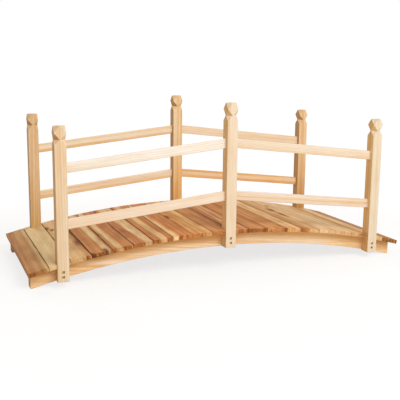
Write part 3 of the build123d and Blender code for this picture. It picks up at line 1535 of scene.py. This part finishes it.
@dataclass(frozen=True)
class Lamp:
    """A round soft lamp that faces the middle of the bridge.

    Distance and size are in metres, power in watts.
    """

    name: str
    towards: Triple
    distance: float
    size: float
    power: float
    colour: Colour

    def hang(self, middle: Vector) -> None:
        """Put the lamp in the scene.

        Args:
            middle: The point that it faces.
        """
        light = bpy.data.lights.new(self.name, "AREA")
        light.shape = "DISK"
        light.size = self.size
        light.energy = self.power
        light.color = self.colour
        towards = Vector(self.towards).normalized()
        lamp = bpy.data.objects.new(self.name, light)
        lamp.location = middle + towards * self.distance
        lamp.rotation_euler = towards.to_track_quat("Z", "Y").to_euler()
        link(lamp)


@dataclass
class Studio:
    """A pale floor, soft light and the camera.

    Angles are in degrees.  The camera looks at the bridge from its front left, a
    little from above.
    """

    camera_place: Triple = (-0.97839, -2.48893, 0.70624)
    camera_azimuth: float = 21.4115
    camera_drop: float = 10.69
    camera_roll: float = 0.6046
    focal_length: float = 64.791
    sensor: float = 36.0
    floor_reach: float = 60.0
    sky: Colour = (1.0, 0.90, 0.76)
    sky_strength: float = 0.48
    key: Lamp = Lamp("key", (0.2, -0.77, 0.60), 5.0, 3.0, 158.0, (0.97, 1.0, 1.03))
    back: Lamp = Lamp("back", (-0.15, 0.80, 0.55), 5.0, 3.0, 55.0, (1.0, 0.94, 0.84))
    floor_bounce: Colour = (0.80, 0.73, 0.62)
    floor_white: float = 1.023
    floor_drop: float = 0.1 * MM
    shadow_share: float = 0.25
    shadow_reach: Pair = (0.9, 1.6)
    bridge_middle: Vector = field(default_factory=lambda: (cad_box[0] + cad_box[1]) / 2)

    def build(self) -> None:
        """Make the floor, the light and the camera."""
        self.add_camera()
        self.key.hang(self.bridge_middle)
        self.back.hang(self.bridge_middle)
        self.fill_world()
        self.add_floor()

    def add_camera(self) -> None:
        """Place the camera where the photograph was taken."""
        azimuth = math.radians(self.camera_azimuth)
        drop = math.radians(self.camera_drop)
        roll = math.radians(self.camera_roll)
        ahead = Vector(
            (math.sin(azimuth) * math.cos(drop), math.cos(azimuth) * math.cos(drop), -math.sin(drop))
        )
        level_right = Vector((math.cos(azimuth), -math.sin(azimuth), 0.0))
        level_up = level_right.cross(ahead)
        right = level_right * math.cos(roll) + level_up * math.sin(roll)
        up = level_up * math.cos(roll) - level_right * math.sin(roll)
        lens = bpy.data.cameras.new("camera")
        lens.sensor_fit = "HORIZONTAL"
        lens.sensor_width = self.sensor
        lens.lens = self.focal_length
        camera = bpy.data.objects.new("camera", lens)
        turn = Matrix((right, up, -ahead)).transposed().to_4x4()
        camera.matrix_world = Matrix.Translation(self.camera_place) @ turn
        link(camera)
        bpy.context.scene.camera = camera

    def seen(self, bench: NodeBench) -> Socket:
        """Tell where the background shows.

        Args:
            bench: The nodes of the world or the floor.

        Returns:
            One where it is seen directly, in metal or through glass.
        """
        path = bench.add("ShaderNodeLightPath").outputs
        shiny = bench.math("MAXIMUM", path["Is Glossy Ray"], path["Is Transmission Ray"])
        return bench.math("MAXIMUM", path["Is Camera Ray"], shiny)

    def fill_world(self) -> None:
        """Light the bridge softly from all round, with a white background."""
        world = bpy.data.worlds.new("studio")
        world.use_nodes = True
        bpy.context.scene.world = world
        bench = NodeBench(world.node_tree)
        light = bench.add("ShaderNodeBackground", {"Color": self.sky, "Strength": self.sky_strength})
        backdrop = bench.add("ShaderNodeBackground", {"Color": WHITE})
        bench.surface(bench.blend(self.seen(bench), light, backdrop), "ShaderNodeOutputWorld")

    def floor_material(self) -> Material:
        """A pale floor that throws warm light back, and is seen as white with a faint shadow.

        From below it is clear, so that the underside of the bridge shows.

        Returns:
            The floor's material.
        """
        material, bench = new_material("studio_floor")
        warm = bench.add("ShaderNodeBsdfDiffuse", {"Color": self.floor_bounce})
        shaded = bench.add("ShaderNodeBsdfDiffuse", {"Color": WHITE})
        white = bench.add("ShaderNodeEmission", {"Strength": self.floor_white})
        clear = bench.add("ShaderNodeBsdfTransparent")
        distance = bench.vector("LENGTH", bench.add("ShaderNodeTexCoord").outputs["Object"])
        white_share = bench.step(distance, self.shadow_reach, (1.0 - self.shadow_share, 1.0))
        upper = bench.blend(self.seen(bench), warm, bench.blend(white_share, shaded, white))
        below = bench.add("ShaderNodeNewGeometry").outputs["Backfacing"]
        bench.surface(bench.blend(below, upper, clear))
        return material

    def add_floor(self) -> None:
        """Lay the floor just under the feet."""
        shape = bmesh.new()
        under = Matrix.Translation((0.0, 0.0, -self.floor_drop))
        bmesh.ops.create_grid(shape, x_segments=1, y_segments=1, size=self.floor_reach, matrix=under)
        mesh = to_mesh(shape, "studio_floor")
        mesh.materials.append(self.floor_material())
        floor = bpy.data.objects.new("studio_floor", mesh)
        link(floor)


def main() -> None:
    """Dress the bridge, piece by piece, and set up the studio."""
    logging.basicConfig(level=logging.INFO, format="%(name)s: %(message)s")
    bpy.context.scene.view_settings.view_transform = "Standard"
    frame_wood = FRAME_PINE.material()
    deck_wood = DECK_PINE.material()
    Stringers().build(frame_wood)
    Posts().build(frame_wood)
    Rails().build(frame_wood)
    Deck().build(deck_wood)
    PostScrews().build(SCREW_PLATE.material())
    Studio().build()


if __name__ == "__main__":
    main()
